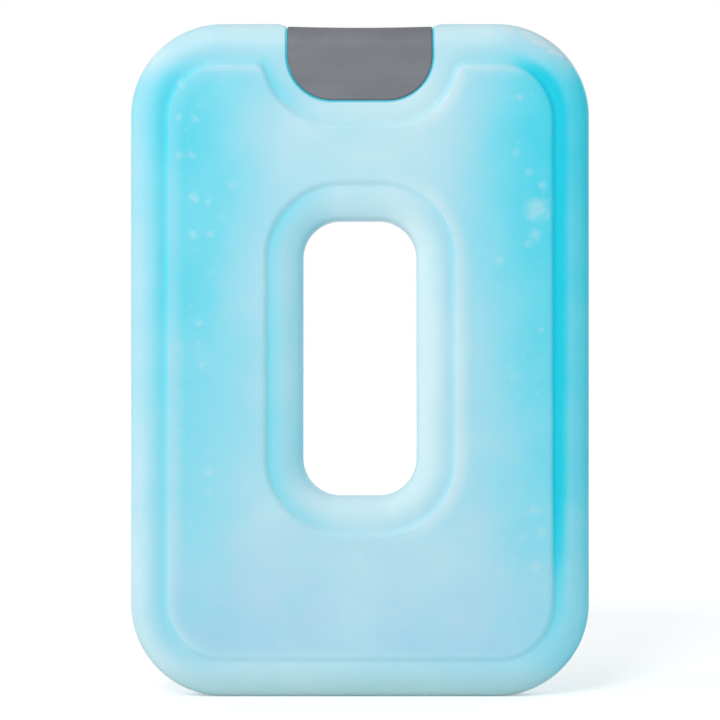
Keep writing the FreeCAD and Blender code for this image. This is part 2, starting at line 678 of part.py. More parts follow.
rims = cap.newObject("PartDesign::Chamfer", "TongueEdges")
trimmed = cap.getObject("TongueTrim")
rims.Base = (trimmed, edges_at_depth(trimmed.Shape, worth(CAP_FACE)))
rims.Size = size["cap_edge_break"]
rims.setExpression("Size", cells("cap_edge_break"))

cavity_sketch = sketch_on(cap, "CavitySection", "YZ_Plane")
saddle_section(cavity_sketch, "cap_wall", f"({CAP_FLOOR} - 3 * cap_trim)")
pocket(cap, "Cavity", cavity_sketch, "2 * cap_width")
bead_sketch = sketch_on(cap, "BeadSection", "YZ_Plane")
bead_circles(bead_sketch, "bead_radius")
pad(cap, "SnapBeads", bead_sketch, "bead_length", symmetric=True)

# The plug that closes the filling port, hidden under the cap
plug = doc.addObject("PartDesign::Body", "fill_plug")
plug.Label = "fill_plug"
plug_sketch = sketch_on(plug, "PlugSection", "XZ_Plane")
stopper_profile(plug_sketch, "0", f"({NECK_TOP} - plug_sink)", "0")
turned = plug.newObject("PartDesign::Revolution", "Plug")
turned.Profile = plug_sketch
turned.ReferenceAxis = (plug_sketch, ["V_Axis"])
turned.Angle = 360
doc.recompute()

SUB_PARTS = (slab, cap, plug)
for item in doc.Objects:
    if "Invalid" in item.State or "Error" in item.State:
        raise RuntimeError(f"{item.Label} failed: {item.getStatusString()}")
for body in SUB_PARTS:
    if body.Shape.isNull() or not body.Shape.isValid() or len(body.Shape.Solids) != 1:
        raise RuntimeError(f"{body.Label} isn't one valid solid")

os.makedirs("parts", exist_ok=True)
for body in SUB_PARTS:
    body.Shape.exportStep(f"parts/{body.Label}.step")
    box = body.Shape.BoundBox
    print(body.Label, round(body.Shape.Volume / 1000, 2), "cm3", len(body.Shape.Faces), "faces", box)
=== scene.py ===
import math

import bpy
import numpy as np
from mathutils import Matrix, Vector, geometry


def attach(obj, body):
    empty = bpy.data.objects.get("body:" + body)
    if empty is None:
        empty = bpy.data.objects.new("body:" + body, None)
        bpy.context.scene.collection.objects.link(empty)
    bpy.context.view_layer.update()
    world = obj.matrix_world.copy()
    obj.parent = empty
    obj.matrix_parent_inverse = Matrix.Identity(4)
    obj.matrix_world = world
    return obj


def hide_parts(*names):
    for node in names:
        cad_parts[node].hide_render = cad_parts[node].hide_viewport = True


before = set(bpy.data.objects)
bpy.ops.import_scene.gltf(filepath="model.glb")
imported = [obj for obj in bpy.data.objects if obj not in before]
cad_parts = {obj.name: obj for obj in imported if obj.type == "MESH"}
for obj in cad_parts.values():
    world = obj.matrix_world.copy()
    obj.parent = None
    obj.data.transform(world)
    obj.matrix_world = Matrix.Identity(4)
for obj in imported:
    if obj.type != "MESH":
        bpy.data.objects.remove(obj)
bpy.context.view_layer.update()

# The slab: one blow-moulded shell of frosted, milky plastic, filled with cyan coolant and sealed.
# Its rim and the collar round the hand slot are rolled over, and a low panel is raised on each face.
# The form is a flat blank of two skins and an edge band, which the form tree then raises to shape.
SLAB_WIDTH = 0.1860
SLAB_HEIGHT = 0.2730
SLAB_CORNER = 0.0375
BORDER_THICK = 0.0204
EDGE_FLAT = 0.0090
EDGE_RADIUS = 0.0040
CROWN_RADIUS = 0.0180
CROWN_RUN = 0.0107

SLOT_WIDTH = 0.0462
SLOT_FOOT = 0.0812
SLOT_TOP = 0.1931
SLOT_CORNER = 0.0153

SIDE_BORDER = 0.0139
TOP_BORDER = 0.0154
FOOT_BORDER = 0.0143
COLLAR_LAND = 0.0139
CAP_LAND = 0.0086
NOTCH_BLEND = 0.0050
PANEL_RISE = 0.0009
STEP_RUN = 0.0026
GUTTER_DEPTH = 0.00016
PARTING_RISE = 0.00008
RIPPLE = 0.00010

CAP_WIDTH = 0.0587
CAP_FOOT = 0.2417
CAP_CORNER = 0.0183
CAP_GAP = 0.0005
SEAT_DEPTH = 0.0025
SEAT_ROUND = 0.0009
GAP_SHELF = 0.00042
GAP_WALL = 0.00047
LIP_RADIUS = 0.0090
LIP_DROP = 0.0013
LIP_FADE = 0.0030
CAP_SINK = 0.0002
NECK_TOP = 0.2690
SHELF_TOP = 0.2714

SEAT_HALF = CAP_WIDTH / 2 + CAP_GAP
LIP_OUT = SEAT_HALF + math.sqrt(LIP_RADIUS**2 - (LIP_RADIUS - LIP_DROP) ** 2)


def run_of(start, end, pitch):
    """Points along a straight run, without its end."""
    count = max(1, round(math.dist(start, end) / pitch))
    share = np.arange(count)[:, None] / count
    return np.array(start) + share * (np.array(end) - np.array(start))


def bend_of(centre, radius, first, last, pitch):
    """Points round a bend between two angles in degrees, without its end."""
    turn = math.radians(last - first)
    count = max(3, round(abs(turn) * radius / pitch))
    angle = math.radians(first) + turn * np.arange(count) / count
    return np.array(centre) + radius * np.stack([np.cos(angle), np.sin(angle)], axis=1)


def rounded_loop(half, low, high, corner, pitch):
    """A closed loop round an upright rounded rectangle, from its lower left corner."""
    return np.concatenate([
        run_of((-half + corner, low), (half - corner, low), pitch),
        bend_of((half - corner, low + corner), corner, 270, 360, pitch),
        run_of((half, low + corner), (half, high - corner), pitch),
        bend_of((half - corner, high - corner), corner, 0, 90, pitch),
        run_of((half - corner, high), (-half + corner, high), pitch),
        bend_of((-half + corner, high - corner), corner, 90, 180, pitch),
        run_of((-half, high - corner), (-half, low + corner), pitch),
        bend_of((-half + corner, low + corner), corner, 180, 270, pitch),
    ])


def rim_loop(inset, pitch):
    """A closed loop round the slab's rim, or further in."""
    return rounded_loop(
        SLAB_WIDTH / 2 - inset, inset, SLAB_HEIGHT - inset, SLAB_CORNER - inset, pitch
    )


def slot_loop(outset, pitch):
    """A closed loop round the hand slot, or further out."""
    return rounded_loop(
        SLOT_WIDTH / 2 + outset, SLOT_FOOT - outset, SLOT_TOP + outset, SLOT_CORNER + outset, pitch
    )


def panel_loop(inset, pitch):
    """A closed loop along the foot of the panel's step, or further in, with its dip round the cap."""
    half = SLAB_WIDTH / 2 - SIDE_BORDER - inset
    low = FOOT_BORDER + inset
    high = SLAB_HEIGHT - TOP_BORDER - inset
    corner = SLAB_CORNER - SIDE_BORDER - inset
    blend = NOTCH_BLEND - inset
    notch = CAP_CORNER + CAP_GAP + CAP_LAND + inset
    x = CAP_WIDTH / 2 - CAP_CORNER
    z = CAP_FOOT + CAP_CORNER
    lift = high - blend - z
    across = math.sqrt((notch + blend) ** 2 - lift**2)
    turn = math.degrees(math.atan2(lift, across))
    return np.concatenate([
        run_of((-half + corner, low), (half - corner, low), pitch),
        bend_of((half - corner, low + corner), corner, 270, 360, pitch),
        run_of((half, low + corner), (half, high - corner), pitch),
        bend_of((half - corner, high - corner), corner, 0, 90, pitch),
        run_of((half - corner, high), (x + across, high), pitch),
        bend_of((x + across, high - blend), blend, 90, 180 + turn, pitch),
        bend_of((x, z), notch, turn, -90, pitch),
        run_of((x, z - notch), (-x, z - notch), pitch),
        bend_of((-x, z), notch, 270, 180 - turn, pitch),
        bend_of((-x - across, high - blend), blend, -turn, 90, pitch),
        run_of((-x - across, high), (-half + corner, high), pitch),
        bend_of((-half + corner, high - corner), corner, 90, 180, pitch),
        run_of((-half, high - corner), (-half, low + corner), pitch),
        bend_of((-half + corner, low + corner), corner, 180, 270, pitch),
    ])


def tongue_line(outset, top, pitch):
    """An open line down one side of the cap's tongue, under it and up the other side."""
    half = CAP_WIDTH / 2 + outset
    corner = CAP_CORNER + outset
    low = CAP_FOOT - outset
    return np.concatenate([
        run_of((-half, top), (-half, low + corner), pitch),
        bend_of((-half + corner, low + corner), corner, 180, 270, pitch),
        run_of((-half + corner, low), (half - corner, low), pitch),
        bend_of((half - corner, low + corner), corner, 270, 360, pitch),
        run_of((half, low + corner), (half, top), pitch),
        np.array([(half, top)]),
    ])


def inside_rounded(points, half, low, high, corner):
    """How far points lie inside an upright rounded rectangle; less than nothing outside it."""
    x = np.abs(points[:, 0]) - (half - corner)
    z = np.abs(points[:, 1] - (low + high) / 2) - ((high - low) / 2 - corner)
    beyond = np.hypot(np.maximum(x, 0), np.maximum(z, 0))
    return corner - beyond - np.minimum(np.maximum(x, z), 0)


def from_rim(points):
    """How far points lie in from the slab's rim."""
    return inside_rounded(points, SLAB_WIDTH / 2, 0.0, SLAB_HEIGHT, SLAB_CORNER)


def from_slot(points):
    """How far points lie outside the hand slot."""
    return -inside_rounded(points, SLOT_WIDTH / 2, SLOT_FOOT, SLOT_TOP, SLOT_CORNER)


def from_edge(points):
    """How far points lie in from the nearer of the rim and the slot."""
    return np.minimum(from_rim(points), from_slot(points))


def from_tongue(points):
    """How far points lie outside the cap's tongue, which has no upper end here."""
    far_top = SLAB_HEIGHT + 1.0
    return -inside_rounded(points, CAP_WIDTH / 2, CAP_FOOT, far_top, CAP_CORNER)


def from_step(points):
    """How far points lie inside the foot of the panel's steps; less than nothing on the borders."""
    half = SLAB_WIDTH / 2 - SIDE_BORDER
    high = SLAB_HEIGHT - TOP_BORDER
    box = inside_rounded(points, half, FOOT_BORDER, high, SLAB_CORNER - SIDE_BORDER)
    notch = from_tongue(points) - CAP_GAP - CAP_LAND
    turn_in = np.hypot(np.maximum(NOTCH_BLEND - box, 0), np.maximum(NOTCH_BLEND - notch, 0))
    outer = np.where(
        (box < NOTCH_BLEND) & (notch < NOTCH_BLEND), NOTCH_BLEND - turn_in, np.minimum(box, notch)
    )
    return np.minimum(outer, from_slot(points) - COLLAR_LAND)


def from_seat(points):
    """How far points lie outside the cap's seat, whose lips flare where it opens at the top."""
    side = from_tongue(points) - CAP_GAP
    x = np.abs(points[:, 0]) - LIP_OUT
    z = points[:, 1] - (SLAB_HEIGHT - LIP_RADIUS)
    lip = LIP_RADIUS - np.hypot(x, z)
    return np.where((x < 0) & (z > 0), np.minimum(side, lip), side)


def two_skins(name, edge_loop, hole_loops, inner_points, keep, rows):
    """A closed blank: the same triangles on a front and a back skin, joined by a band at each loop.
    Each point's share is -1 on the front skin, 1 on the back one and between them on the band,
    where each row has its share and how far it lies in from the loop."""
    loops = [edge_loop, *hole_loops]
    starts = np.cumsum([0] + [len(loop) for loop in loops])
    flat = np.concatenate([*loops, inner_points])
    fences = [
        (int(start + step), int(start + (step + 1) % len(loop)))
        for start, loop in zip(starts, loops)
        for step in range(len(loop))
    ]
    corners, _, tiles, origins, _, _ = geometry.delaunay_2d_cdt(
        [Vector(point) for point in flat], fences, [], 0, 1e-7
    )
    plan = np.array([tuple(corner) for corner in corners])
    tiles = np.array(tiles)
    tiles = tiles[keep(plan[tiles].mean(axis=1))]
    place = {source: number for number, sources in enumerate(origins) for source in sources}
    count = len(plan)
    faces = [(a, b, c) for a, b, c in tiles.tolist()]
    faces += [(c + count, b + count, a + count) for a, b, c in tiles.tolist()]
    points = [plan, plan]
    share = [np.full(count, -1.0), np.full(count, 1.0)]
    total = 2 * count
    for start, loop in zip(starts, loops):
        ring = [place[start + step] for step in range(len(loop))]
        along = np.roll(plan[ring], -1, axis=0) - np.roll(plan[ring], 1, axis=0)
        inward = np.column_stack([-along[:, 1], along[:, 0]])
        inward /= np.linalg.norm(inward, axis=1, keepdims=True)
        lines = [ring]
        for row, inset in rows:
            lines.append(list(range(total, total + len(ring))))
            points.append(plan[ring] + inset * inward)
            share.append(np.full(len(ring), row))
            total += len(ring)
        lines.append([number + count for number in ring])
        for lower, upper in zip(lines, lines[1:]):
            for step in range(len(ring)):
                after = (step + 1) % len(ring)
                faces.append((lower[after], lower[step], upper[step], upper[after]))
    points = np.concatenate(points)
    share = np.concatenate(share)
    mesh = bpy.data.meshes.new(name)
    mesh.from_pydata(np.column_stack([points[:, 0], share, points[:, 1]]).tolist(), [], faces)
    return mesh, points, share


def note(mesh, name, values):
    """Keeps one number for each point of a mesh under a name."""
    kept = mesh.attributes.new(name, "FLOAT", "POINT")
    kept.data.foreach_set("value", values.astype(np.float32))


# How closely points follow the lines of the blank
RIM_PITCH = 0.0016
SLOT_PITCH = 0.0014
STEP_PITCH = 0.0013
SEAT_PITCH = 0.0007
SHELF_PITCH = 0.0006
LIP_PITCH = 0.0004
NECK_PITCH = 0.0030
FIELD_PITCH = 0.0034

# Rows of points, as distances from the edge, the step and the seat, crowd where the skin bends most
crown_rows = CROWN_RUN * (np.linspace(0, 1, 13)[1:] ** 1.7)
step_rows = np.array([-1.7, -1.0, -0.5, -0.1, 0.3, 0.7, 1.1, 1.5, 1.9, 2.3, 2.8, 3.7]) / 1000
seat_rows = SEAT_ROUND * (np.linspace(0, 1, 6)[1:] ** 1.5)

# The rim's line dips into the seat: round one lip, down its shelf to the neck, and up the other side
lip_angle = math.degrees(math.asin((LIP_RADIUS - LIP_DROP) / LIP_RADIUS))
lip_centre = SLAB_HEIGHT - LIP_RADIUS
neck_edge = SEAT_HALF - GAP_WALL
shelf_edge = SEAT_HALF - GAP_SHELF
whole_rim = rim_loop(0.0, RIM_PITCH)
over_seat = (np.abs(whole_rim[:, 0]) < LIP_OUT + LIP_PITCH) & (whole_rim[:, 1] > SLAB_HEIGHT / 2)
gap_start = int(np.argmax(over_seat))
gap_end = gap_start + int(over_seat.sum())
seat_mouth = np.concatenate([
    bend_of((LIP_OUT, lip_centre), LIP_RADIUS, 90, 180 - lip_angle, LIP_PITCH),
    np.array([(SEAT_HALF, SLAB_HEIGHT - LIP_DROP), (SEAT_HALF, SHELF_TOP)]),
    run_of((shelf_edge, SHELF_TOP), (shelf_edge, NECK_TOP), SHELF_PITCH),
    np.array([(shelf_edge, NECK_TOP)]),
    run_of((neck_edge, NECK_TOP), (-neck_edge, NECK_TOP), NECK_PITCH),
    np.array([(-neck_edge, NECK_TOP)]),
    run_of((-shelf_edge, NECK_TOP), (-shelf_edge, SHELF_TOP), SHELF_PITCH),
    np.array([(-shelf_edge, SHELF_TOP), (-SEAT_HALF, SHELF_TOP)]),
    bend_of((-LIP_OUT, lip_centre), LIP_RADIUS, lip_angle, 90, LIP_PITCH),
    np.array([(-LIP_OUT, SLAB_HEIGHT)]),
])
edge_loop = np.concatenate([whole_rim[:gap_start], seat_mouth, whole_rim[gap_end:]])

crown_points = np.concatenate(
    [rim_loop(inset, RIM_PITCH) for inset in crown_rows]
    + [slot_loop(outset, SLOT_PITCH) for outset in crown_rows]
)
step_points = np.concatenate(
    [panel_loop(inset, STEP_PITCH) for inset in step_rows]
    + [slot_loop(COLLAR_LAND + inset, STEP_PITCH) for inset in step_rows]
)
seat_points = np.concatenate(
    [tongue_line(CAP_GAP + outset, SLAB_HEIGHT, SEAT_PITCH) for outset in [0.0, *seat_rows]]
)
lip_points = np.concatenate([
    np.array((side, 1.0))
    * bend_of((LIP_OUT, lip_centre), LIP_RADIUS - outset, 90, 180 - lip_angle, LIP_PITCH)
    for outset in seat_rows
    for side in (-1, 1)
])
WALL_CLEAR = 0.0002
NECK_REACH = 0.0295
wall_top = NECK_TOP - WALL_CLEAR
wall_points = np.concatenate([
    tongue_line(CAP_GAP - GAP_SHELF, wall_top, SEAT_PITCH),
    tongue_line(CAP_GAP - GAP_WALL, wall_top, SEAT_PITCH),
])
neck_rows = NECK_TOP - np.array([0.05, 0.2, 0.45, 0.8, 1.3, 2.0, 3.0, 4.2, 5.6, 7.0, 8.0]) / 1000
neck_columns = np.linspace(-NECK_REACH, NECK_REACH, 19)
neck_points = np.array([(x, z) for z in neck_rows for x in neck_columns])

# The open fields between the lines are filled with even triangles
column_count = math.ceil(SLAB_WIDTH / 2 / FIELD_PITCH)
level_count = math.ceil(SLAB_HEIGHT / (FIELD_PITCH * math.sqrt(3) / 2))
columns = np.arange(-column_count, column_count + 1) * FIELD_PITCH
levels = np.arange(1, level_count + 1) * FIELD_PITCH * math.sqrt(3) / 2
fill = np.array([
    (x + (FIELD_PITCH / 2 if number % 2 else 0.0), z)
    for number, z in enumerate(levels)
    for x in columns
])

# How far loose points keep away from the rolls, the steps, the seat and each other's rows
ROLL_CLEAR = 0.0010
STEP_CLEAR = 0.0026
SEAT_CLEAR = 0.0022
NECK_CLEAR = 0.0100
ROLL_MARGIN = 0.0004
SEAT_MARGIN = 0.0003
NECK_MARGIN = 0.0010
CROWN_MARGIN = 0.00004
LINE_MARGIN = 0.0001
FIELD_MARGIN = 0.0010


def clear_of_seams(points):
    """Whether points lie in the open fields, a little away from the rolls, the steps and the seat."""
    step = from_step(points)
    seat = from_seat(points)
    return (
        (from_edge(points) > CROWN_RUN + ROLL_CLEAR)
        & ((step > STEP_RUN + STEP_CLEAR) | (step < -STEP_CLEAR))
        & (np.abs(seat) > SEAT_CLEAR)
        & ~((seat < 0) & (points[:, 1] > NECK_TOP - NECK_CLEAR))
    )


def in_mouth(points, margin):
    """Whether points lie in the seat's open mouth, over the neck and the two shelves in the gap."""
    seat = from_seat(points)
    height = points[:, 1]
    over_shelf = (seat < margin) & (height > SHELF_TOP - margin)
    over_neck = (seat < margin - GAP_SHELF) & (height > NECK_TOP - margin)
    return over_shelf | over_neck


def on_slab(points):
    """Whether points lie on the slab seen from the front, and not in the slot or the seat's mouth."""
    return (from_edge(points) > 0) & ~in_mouth(points, 0.0)


def inside(points, margin):
    """Only those points that lie on the slab by more than a margin from its silhouette."""
    return points[(from_edge(points) > margin) & ~in_mouth(points, margin)]


crown_points = crown_points[from_seat(crown_points) > SEAT_ROUND + SEAT_MARGIN]
step_points = step_points[from_edge(step_points) > CROWN_RUN + ROLL_MARGIN]
neck_points = neck_points[from_seat(neck_points) < -NECK_MARGIN]
open_field = inside(fill, FIELD_MARGIN)
field_points = np.concatenate([
    inside(crown_points, CROWN_MARGIN),
    step_points,
    inside(seat_points, LINE_MARGIN),
    inside(lip_points, LINE_MARGIN),
    wall_points,
    neck_points,
    open_field[clear_of_seams(open_field)],
])

# The edge band has a fine parting line along its middle, which stands proud of the rows beside it
half_band = [(0.90, 0.00001), (0.09, PARTING_RISE), (0.04, 0.0)]
band_rows = [(-row, inset) for row, inset in half_band] + half_band[::-1]
blank, plan, share = two_skins(
    "pack_shell", edge_loop, [slot_loop(0.0, SLOT_PITCH)[::-1]], field_points, on_slab, band_rows
)

# Each point keeps how far it lies from the edge, the step and the seat, which is eased out at the
# lips, and which way the step and the roll turn there: to the right, or up
NUDGE = 0.0005
aside = np.array([(NUDGE, 0.0)])
above = np.array([(0.0, NUDGE)])


def growth(distance, points, nudge):
    """How fast a distance grows at points towards a small nudge."""
    return (distance(points + nudge) - distance(points - nudge)) / (2 * NUDGE)


lip_fade = SEAT_ROUND * np.clip(1 - (LIP_OUT - np.abs(plan[:, 0])) / LIP_FADE, 0, 1) ** 2
note(blank, "share", share)
note(blank, "edge", np.maximum(from_edge(plan), 0.0))
note(blank, "step", from_step(plan))
note(blank, "seat", from_seat(plan) + lip_fade)
note(blank, "climb", growth(from_step, plan, aside))
note(blank, "rolls_right", -growth(from_edge, plan, aside))
note(blank, "rolls_up", -growth(from_edge, plan, above))
pack_shell = bpy.data.objects.new("pack_shell", blank)
bpy.context.scene.collection.objects.link(pack_shell)


def reckon(tree, operation, *values):
    """One sum in a tree, from sockets or plain numbers."""
    node = tree.nodes.new("ShaderNodeMath")
    node.operation = operation
    for socket, value in zip(node.inputs, values):
        if isinstance(value, (int, float)):
            socket.default_value = value
        else:
            tree.links.new(value, socket)
    return node.outputs[0]


def added(tree, first, *others):
    """Several values added together."""
    for other in others:
        first = reckon(tree, "ADD", first, other)
    return first


def multiplied(tree, first, *others):
    """Several values multiplied together."""
    for other in others:
        first = reckon(tree, "MULTIPLY", first, other)
    return first


def less(tree, value, taken):
    """One value less another."""
    return reckon(tree, "SUBTRACT", value, taken)


def ease(tree, value, start, end, low=0.0, high=1.0):
    """A soft change from low to high while a value goes from start to end."""
    node = tree.nodes.new("ShaderNodeMapRange")
    node.interpolation_type = "SMOOTHSTEP"
    for socket, setting in zip(node.inputs, (value, start, end, low, high)):
        if isinstance(setting, (int, float)):
            socket.default_value = setting
        else:
            tree.links.new(setting, socket)
    return node.outputs["Result"]


def rolled_edge(tree, gap, flat, face, tight, wide):
    """The half thickness this far in from an edge: a tight bend, then a wide one on to the face."""
    reach = less(tree, wide, tight)
    drop = added(tree, less(tree, wide, face), flat)
    shift = reckon(
        tree, "SQRT", less(tree, multiplied(tree, reach, reach), multiplied(tree, drop, drop))
    )
    run = added(tree, tight, shift)
    change = less(tree, run, reckon(tree, "DIVIDE", multiplied(tree, wide, shift), reach))
    heights = []
    for radius, centre, base in ((tight, tight, flat), (wide, run, less(tree, face, wide))):
        back = reckon(tree, "MAXIMUM", less(tree, centre, gap), 0.0)
        square = less(tree, multiplied(tree, radius, radius), multiplied(tree, back, back))
        rise = reckon(tree, "SQRT", reckon(tree, "MAXIMUM", square, 0.0))
        heights.append(added(tree, base, rise))
    near = reckon(tree, "LESS_THAN", gap, change)
    more = multiplied(tree, less(tree, heights[0], heights[1]), near)
    return added(tree, heights[1], more)


SLAB_INPUTS = (
    ("Border thickness", BORDER_THICK),
    ("Edge flat", EDGE_FLAT),
    ("Edge radius", EDGE_RADIUS),
    ("Crown radius", CROWN_RADIUS),
    ("Panel rise", PANEL_RISE),
    ("Step run", STEP_RUN),
    ("Gutter depth", GUTTER_DEPTH),
    ("Seat round", SEAT_ROUND),
    ("Seat depth", SEAT_DEPTH + CAP_SINK),
    ("Neck top", NECK_TOP),
    ("Ripple", RIPPLE),
)

form = bpy.data.node_groups.new("slab_form", "GeometryNodeTree")
form.interface.new_socket("Blank", in_out="INPUT", socket_type="NodeSocketGeometry")
for name, _ in SLAB_INPUTS:
    form.interface.new_socket(name, in_out="INPUT", socket_type="NodeSocketFloat")
form.interface.new_socket("Finish", in_out="INPUT", socket_type="NodeSocketMaterial")
form.interface.new_socket("Slab", in_out="OUTPUT", socket_type="NodeSocketGeometry")
given = form.nodes.new("NodeGroupInput").outputs
made = form.nodes.new("NodeGroupOutput").inputs

kept = {}
for name in ("share", "edge", "step", "seat"):
    reader = form.nodes.new("GeometryNodeInputNamedAttribute")
    reader.data_type = "FLOAT"
    reader.inputs["Name"].default_value = name
    kept[name] = reader.outputs["Attribute"]
position = form.nodes.new("GeometryNodeInputPosition").outputs["Position"]
apart = form.nodes.new("ShaderNodeSeparateXYZ")
form.links.new(position, apart.inputs["Vector"])

# The rolled border and the panel's step, with a shallow gutter along the foot of the step
flat_half = multiplied(form, given["Edge flat"], 0.5)
face = multiplied(form, given["Border thickness"], 0.5)
roll = rolled_edge(
    form, kept["edge"], flat_half, face, given["Edge radius"], given["Crown radius"]
)
climb = ease(form, kept["step"], 0.0, given["Step run"], 0.0, given["Panel rise"])
gutter = multiplied(
    form,
    ease(form, kept["step"], -0.0030, -0.0003),
    ease(form, kept["step"], -0.0003, 0.0009, given["Gutter depth"], 0.0),
)

# The seat's lip is turned down by a quarter round
short = reckon(form, "MAXIMUM", less(form, given["Seat round"], kept["seat"]), 0.0)
left_over = less(
    form,
    multiplied(form, given["Seat round"], given["Seat round"]),
    multiplied(form, short, short),
)
turn_down = less(
    form, given["Seat round"], reckon(form, "SQRT", reckon(form, "MAXIMUM", left_over, 0.0))
)

# A faint ripple only ever sinks the faces, so that the slab stays within its thickness
sway = form.nodes.new("ShaderNodeTexNoise")
sway.inputs["Scale"].default_value = 32.0
sway.inputs["Detail"].default_value = 1.0
form.links.new(position, sway.inputs["Vector"])
ripple = multiplied(
    form,
    ease(form, kept["edge"], 0.006, 0.020),
    multiplied(form, less(form, sway.outputs["Fac"], 1.0), given["Ripple"]),
)
body = less(form, less(form, added(form, roll, climb, ripple), gutter), turn_down)

# The neck under the cap is rolled over as the rim is, one seat's depth further in
neck = rolled_edge(
    form,
    less(form, given["Neck top"], apart.outputs["Z"]),
    flat_half,
    less(form, face, given["Seat depth"]),
    less(form, given["Edge radius"], SEAT_DEPTH),
    less(form, given["Crown radius"], SEAT_DEPTH),
)
in_seat = reckon(form, "LESS_THAN", kept["seat"], -(GAP_SHELF + GAP_WALL) / 2)
half_thick = added(form, body, multiplied(form, in_seat, less(form, neck, body)))

placed = form.nodes.new("ShaderNodeCombineXYZ")
form.links.new(apart.outputs["X"], placed.inputs["X"])
form.links.new(multiplied(form, kept["share"], half_thick), placed.inputs["Y"])
form.links.new(apart.outputs["Z"], placed.inputs["Z"])
raised = form.nodes.new("GeometryNodeSetPosition")
form.links.new(given["Blank"], raised.inputs["Geometry"])
form.links.new(placed.outputs["Vector"], raised.inputs["Position"])

# Shading is smooth but for folds sharper than this
CRISP_ANGLE = math.radians(50)
smooth = form.nodes.new("GeometryNodeSetShadeSmooth")
form.links.new(raised.outputs["Geometry"], smooth.inputs["Geometry"])
fold = form.nodes.new("GeometryNodeInputMeshEdgeAngle").outputs["Unsigned Angle"]
crisp = form.nodes.new("GeometryNodeSetShadeSmooth")
crisp.domain = "EDGE"
crisp.inputs["Shade Smooth"].default_value = False
form.links.new(smooth.outputs["Geometry"], crisp.inputs["Geometry"])
form.links.new(reckon(form, "GREATER_THAN", fold, CRISP_ANGLE), crisp.inputs["Selection"])
whole = form.nodes.new("GeometryNodeRealizeInstances")
form.links.new(crisp.outputs["Geometry"], whole.inputs["Geometry"])
coat = form.nodes.new("GeometryNodeSetMaterial")
form.links.new(whole.outputs["Geometry"], coat.inputs["Geometry"])
form.links.new(given["Finish"], coat.inputs["Material"])
form.links.new(coat.outputs["Geometry"], made["Slab"])

milky = bpy.data.materials.new("milky_shell")
milky.use_nodes = True
skin = milky.node_tree
plastic = skin.nodes["Principled BSDF"]
on_shell = skin.nodes.new("ShaderNodeTexCoord").outputs["Object"]
axes = skin.nodes.new("ShaderNodeSeparateXYZ")
skin.links.new(on_shell, axes.inputs["Vector"])
x_place = axes.outputs["X"]
z_place = axes.outputs["Z"]
out_wide = reckon(skin, "ABSOLUTE", x_place)
tone = {}
for name in ("edge", "step", "seat", "climb", "rolls_right", "rolls_up"):
    reader = skin.nodes.new("ShaderNodeAttribute")
    reader.attribute_name = name
    tone[name] = reader.outputs["Fac"]


def noise_on(tree, place, scale, detail):
    """A noise texture over a surface, in patches of about 1 / scale metres."""
    noise = tree.nodes.new("ShaderNodeTexNoise")
    noise.inputs["Scale"].default_value = scale
    noise.inputs["Detail"].default_value = detail
    tree.links.new(place, noise.inputs["Vector"])
    return noise.outputs


def mottle(tree, place, scale, detail, low, high):
    """A soft random change from low to high over a surface."""
    return ease(tree, noise_on(tree, place, scale, detail)["Fac"], 0.30, 0.70, low, high)


def laid_over(tree, amount, under, colour):
    """A plain colour laid over another by an amount."""
    mix = tree.nodes.new("ShaderNodeMix")
    mix.data_type = "RGBA"
    tree.links.new(amount, mix.inputs["Factor"])
    tree.links.new(under, mix.inputs["A"])
    mix.inputs["B"].default_value = (*colour, 1.0)
    return mix.outputs["Result"]


# The coolant's depth runs from 0, the palest, to 1, and painted light and shade are added into it
# below.
# It grows towards both sides and upwards, less so over the top border and at the foot, and a little
# more on the right, which is painted shade on the side away from the key light
PLAIN_DEPTH = 0.17
side_depth = multiplied(
    skin,
    ease(skin, out_wide, 0.022, 0.078),
    ease(skin, z_place, -0.02, 0.24, 0.08, 0.46),
    ease(skin, z_place, 0.246, 0.262, 1.0, 0.40),
    ease(skin, z_place, 0.004, 0.034, 0.35, 1.0),
)
# Painted shade: a little deeper on the right, the side away from the key light
right_painted_shade = ease(skin, x_place, 0.045, 0.080, 0.0, 0.07)
pale_border = multiplied(
    skin, ease(skin, out_wide, 0.077, 0.084), ease(skin, z_place, 0.10, 0.20, 0.0, -0.08)
)
# Painted shade: a little deeper at the very foot, where less of the key light falls
low_painted_shade = ease(skin, z_place, 0.010, 0.060, 0.015, 0.0)

# Painted light and shade on the rolls: a roll is painted pale, a painted highlight, where it turns
# left or up towards the key light, and painted a little deeper, painted shade, where it turns right,
# most of all at its very edge
painted_roll_light = added(
    skin,
    ease(skin, tone["rolls_right"], -1.0, 0.0, -0.28, 0.0),
    ease(skin, tone["rolls_right"], 0.0, 1.0, 0.0, 0.08),
    ease(skin, tone["rolls_up"], 0.0, 1.0, 0.0, -0.20),
)
painted_roll_light = multiplied(
    skin,
    reckon(skin, "MAXIMUM", painted_roll_light, -0.24),
    ease(skin, tone["edge"], 0.0025, 0.0130, 1.0, 0.0),
    ease(skin, out_wide, 0.040, 0.050, 0.5, 1.0),
)
# Painted shade on the very edge of the rim where it turns right
right_edge_painted_shade = multiplied(
    skin,
    ease(skin, tone["edge"], 0.0, 0.0045, 0.09, 0.0),
    ease(skin, tone["rolls_right"], 0.0, 0.9),
)

# A step is painted paler at its head where it faces left or up, a painted highlight from the key
# light, and the flat collar round the slot is painted from deeper on its left to paler on its right,
# painted shade and light
faces_light = reckon(
    skin,
    "MAXIMUM",
    ease(skin, tone["climb"], 0.0, 1.0),
    ease(skin, z_place, 0.2515, 0.2545, 0.0, 0.7),
)
painted_step_highlight = multiplied(
    skin,
    ease(skin, tone["step"], 0.0010, 0.0024),
    ease(skin, tone["step"], 0.0030, 0.0090, 1.0, 0.0),
    faces_light,
    -0.16,
)
